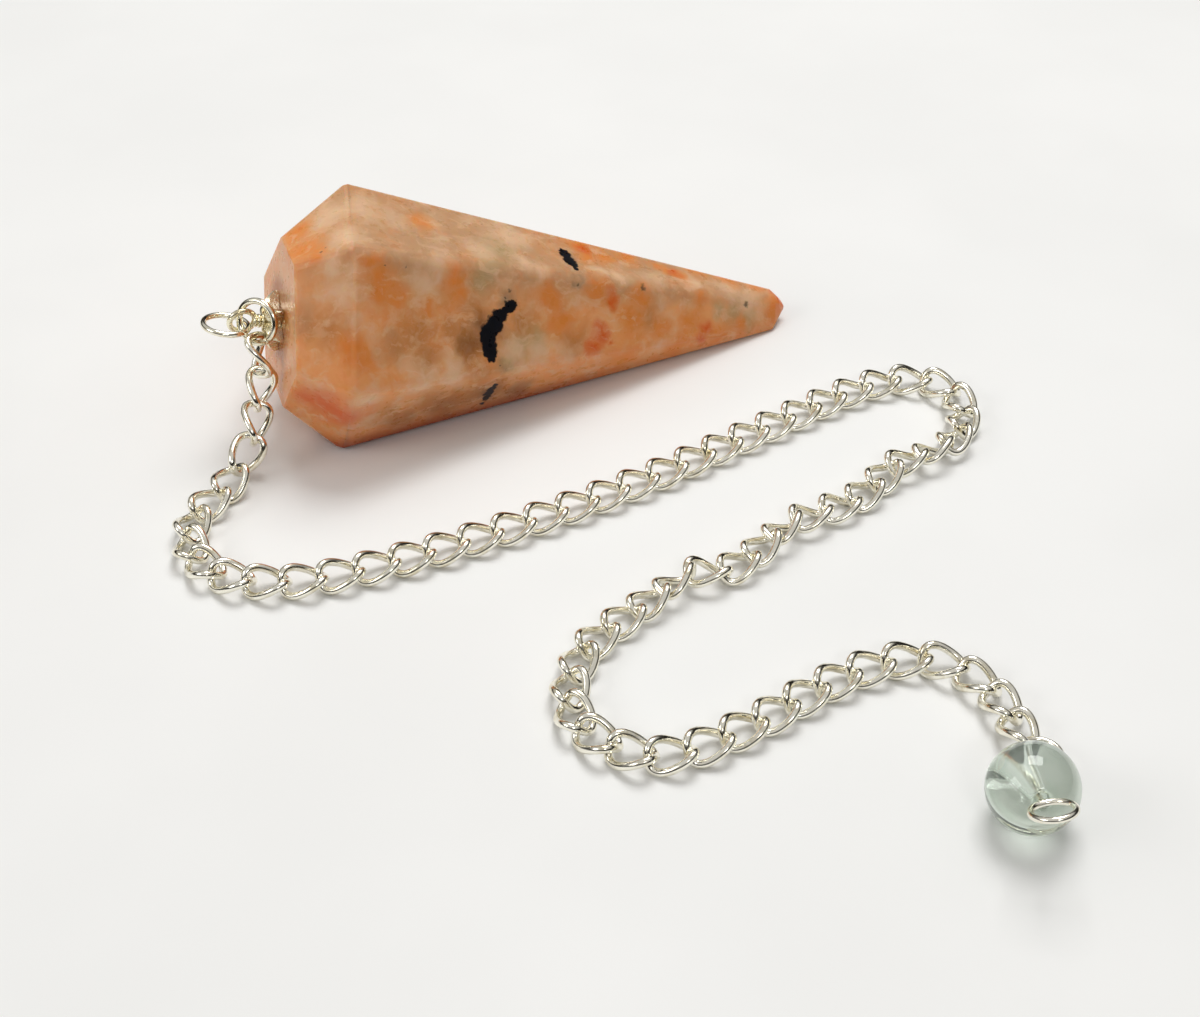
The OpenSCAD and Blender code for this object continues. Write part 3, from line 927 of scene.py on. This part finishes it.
def make_ring(name, node, wire, seam, material):
    """A bent ring of round wire with a closed seam."""
    centre, axis, radius = ring_place(node)
    turns = turns_of(RING_STEPS, 0.5)
    from_seam = np.abs((turns - math.radians(seam) + math.pi) % (2 * math.pi) - math.pi)
    wire_radii = wire / 2 * (1 - SEAM_DEPTH * np.exp(-((from_seam / SEAM_WIDTH) ** 2)))
    line = circle(centre, axis, radius, turns)
    mesh = smooth_mesh(name, *tube(line, wire_radii, RING_SIDES, closed=True, up=axis))
    dress(node, mesh, material)


# The chain


def link_line(length, width, count):
    """The middle line of a link's wire in its own axes, and the direction square to its band."""
    half_l, half_w = length / 2, width / 2
    u = turns_of(count)
    power = 2 / LINK_SQUARENESS
    x = half_l * np.sign(np.cos(u)) * np.abs(np.cos(u)) ** power
    y = half_w * np.sign(np.sin(u)) * np.abs(np.sin(u)) ** power
    t = -np.radians(LINK_TWIST) * x / half_l
    line = np.stack([x, y * np.cos(t), y * np.sin(t)], 1)
    up = np.stack([np.zeros(count), -np.sin(t), np.cos(t)], 1)
    return line, up


def even(line, up, count):
    """The same closed line and directions at evenly spaced points."""
    closed, ups = np.vstack([line, line[:1]]), np.vstack([up, up[:1]])
    run = np.concatenate([[0], np.cumsum(np.linalg.norm(np.diff(closed, axis=0), axis=1))])
    at = np.linspace(0, run[-1], count, endpoint=False)
    return [np.stack([np.interp(at, run, rows[:, k]) for k in range(3)], 1) for rows in (closed, ups)]


def make_chain(material):
    """Every link as a smooth twisted oval of round wire, lifted where it would reach into the floor."""
    line, up = link_line(LINK_LENGTH - LINK_WIRE, LINK_WIDTH - LINK_WIRE, LINK_FINE_STEPS)
    line, up = even(line, up, LINK_STEPS)
    roll = math.radians(LINK_ROLL)
    links = []
    for centre, along, across, normal in link_places():
        turned = math.cos(roll) * across + math.sin(roll) * normal
        axes = np.stack([along, turned, np.cross(along, turned)])
        points = centre + line @ axes
        points[:, 2] += max(0.0, LINK_OFF_FLOOR + LINK_WIRE / 2 - points[:, 2].min())
        links.append(tube(points, LINK_WIRE / 2, LINK_SIDES, closed=True, up=up @ axes))
    dress("chain", smooth_mesh("chain_links", *join(links)), material)


# The bead and its wire


def bead_profile():
    """Heights and radii round the bead's section: over the ball, round its rims, and through the hole."""
    ball, hole = BEAD_D / 2, HOLE_D / 2
    reach = math.sqrt(ball**2 - hole**2)
    start = math.asin((hole + HOLE_RIM) / ball)
    start_h = ball * math.cos(start)
    angles = [start + (math.pi - 2 * start) * k / BEAD_STEPS for k in range(BEAD_STEPS, -1, -1)]
    over = [(ball * math.cos(w), ball * math.sin(w)) for w in angles]
    rim = []
    for k in range(1, BEAD_RIM_STEPS + 1):
        share = k / BEAD_RIM_STEPS
        height = start_h + (reach - HOLE_RIM_DEPTH - start_h) * share**2
        rim.append((height, hole + HOLE_RIM * (1 - math.sin(share * math.pi / 2))))
    straight = HOLE_STRAIGHT * reach
    through = [(straight - 2 * straight * k / HOLE_STEPS, hole) for k in range(HOLE_STEPS + 1)]
    return over + rim + through + [(-h, r) for h, r in rim[::-1]]


def make_bead():
    """A glass ball with a drilled hole whose rims are melted round."""
    axis = unit(HOLE_DIR)
    profile = bead_profile()
    corners = lathe(profile, BEAD_SIDES, place_along(bead_centre(), axis, *sideways(axis)))
    mesh = smooth_mesh("bead_drilled", corners, wall(len(profile), BEAD_SIDES, closed=True))
    dress("bead", mesh, glass_material())


def smooth_line(points):
    """A Catmull-Rom line through points."""
    steps = 10
    p = [2 * points[0] - points[1], *points, 2 * points[-1] - points[-2]]
    line = []
    for a, b, c, d in zip(p, p[1:], p[2:], p[3:]):
        for k in range(steps):
            t = k / steps
            line.append(0.5 * (2 * b + (c - a) * t + (2 * a - 5 * b + 4 * c - d) * t**2
                               + (3 * b - a - 3 * c + d) * t**3))
    return np.array([*line, points[-1]])


def ring_entry(centre, normal, hole_end):
    """The place on a ring of the bead's wire that is nearest to an end of the hole."""
    inwards = hole_end - centre
    return centre + BEAD_RING_R * unit(inwards - (inwards @ normal) * normal)


def make_bead_wire(material):
    """One wire through the bead, turned into a ring at each end."""
    bead, axis, half = bead_centre(), np.array(HOLE_DIR), BEAD_D / 2
    back_end, front_end = bead + half * axis, bead - half * axis
    back_at = back_end + np.array(BACK_RING_AT)
    front_at = front_end + (BEAD_RING_R + FRONT_RING_GAP) * np.array(FRONT_RING_DIR)
    back_n, front_n = unit(BACK_RING_NORMAL), unit(FRONT_RING_NORMAL)
    along_hole = [-half - FRONT_LEAD, -HOLE_KNOTS * half, HOLE_KNOTS * half, half + BACK_LEAD]
    line = smooth_line([
        ring_entry(front_at, front_n, front_end),
        *(bead + h * axis for h in along_hole),
        ring_entry(back_at, back_n, back_end),
    ])
    parts = [tube(line, BEAD_WIRE / 2, BEAD_WIRE_SIDES)]
    for at, normal in ((back_at, back_n), (front_at, front_n)):
        ring = circle(at, normal, BEAD_RING_R, turns_of(BEAD_RING_STEPS))
        parts.append(tube(ring, BEAD_WIRE / 2, BEAD_WIRE_SIDES, closed=True, up=normal))
    dress("bead_wire", smooth_mesh("bead_wire_bent", *join(parts)), material)


# Stage


def make_floor():
    """A wide flat floor, which isn't part of the object."""
    corners = [(x * FLOOR_HALF * MM, y * FLOOR_HALF * MM, 0) for x, y in ((-1, -1), (1, -1), (1, 1), (-1, 1))]
    mesh = bpy.data.meshes.new("floor")
    mesh.from_pydata(corners, [], [(0, 1, 2, 3)])
    mesh.materials.append(floor_material())
    put("floor", mesh)


def aim(thing, at, look_at):
    """Places a light or the camera so that it faces a point."""
    thing.location = Vector(at) * MM
    thing.rotation_euler = (Vector(look_at) - Vector(at)).to_track_quat("-Z", "Y").to_euler()


def make_light(name, at, size, power):
    """A rectangular area light."""
    lamp = bpy.data.lights.new(name, "AREA")
    lamp.shape = "RECTANGLE"
    lamp.size, lamp.size_y = size[0] * MM, size[1] * MM
    lamp.energy = power
    aim(put(name, lamp), at, LIGHTS_LOOK_AT)


def make_world():
    """Soft surroundings: bright overhead, darker near the horizon."""
    world = bpy.data.worlds.new("soft_room")
    bpy.context.scene.world = world
    g = Graph(world)
    way = g.split(g.add("ShaderNodeTexCoord").outputs["Generated"])
    lean = g.math("ADD", way["Z"], g.math("MULTIPLY", way["Y"], SKY_BACK))
    lean = g.math("SUBTRACT", lean, g.math("MULTIPLY", way["X"], SKY_LEFT))
    ramp = g.add("ShaderNodeValToRGB", {0: lean})
    stops = ramp.color_ramp.elements
    stops[0].position, stops[1].position = SKY_SHADES[0][0], SKY_SHADES[-1][0]
    for height, _ in SKY_SHADES[1:-1]:
        stops.new(height)
    for stop, (_, shade) in zip(stops, SKY_SHADES):
        tint = SKY_BRIGHT if shade > SKY_DIM_TO else SKY_DIM
        stop.color = (*(shade * part for part in tint), 1)
    sky = g.add("ShaderNodeBackground", {0: ramp.outputs[0], "Strength": SKY_STRENGTH})
    g.add("ShaderNodeOutputWorld", {0: sky.outputs[0]})


def make_camera():
    """The photograph's camera."""
    data = bpy.data.cameras.new("view")
    data.sensor_width, data.lens = CAMERA_SENSOR, CAMERA_LENS
    data.clip_start, data.clip_end = CAMERA_NEAR, CAMERA_FAR
    camera = put("view", data)
    aim(camera, CAMERA_AT, CAMERA_LOOKS_AT)
    bpy.context.scene.camera = camera


# The scene

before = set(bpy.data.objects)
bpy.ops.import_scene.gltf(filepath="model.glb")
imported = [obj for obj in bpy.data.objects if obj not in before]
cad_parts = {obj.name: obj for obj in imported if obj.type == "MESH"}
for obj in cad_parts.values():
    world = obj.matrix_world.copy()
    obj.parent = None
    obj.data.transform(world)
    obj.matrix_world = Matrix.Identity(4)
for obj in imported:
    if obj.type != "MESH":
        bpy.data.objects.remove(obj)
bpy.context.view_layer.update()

bpy.context.scene.view_settings.view_transform = "Standard"
ring_silver = silver_material("silver_polished", *RING_SILVER)
cap_silver = silver_material("silver_cast", *CAP_SILVER)
chain_silver = silver_material("silver_chain", *CHAIN_SILVER)

make_stone()
make_cap(cap_silver)
make_ring("jump_ring_bent", "jump_ring", JUMP_WIRE, JUMP_SEAM, ring_silver)
make_ring("hang_ring_bent", "hang_ring", HANG_WIRE, HANG_SEAM, ring_silver)
make_chain(chain_silver)
make_bead()
make_bead_wire(chain_silver)

make_floor()
make_world()
for row in LIGHTS:
    make_light(*row)
make_camera()
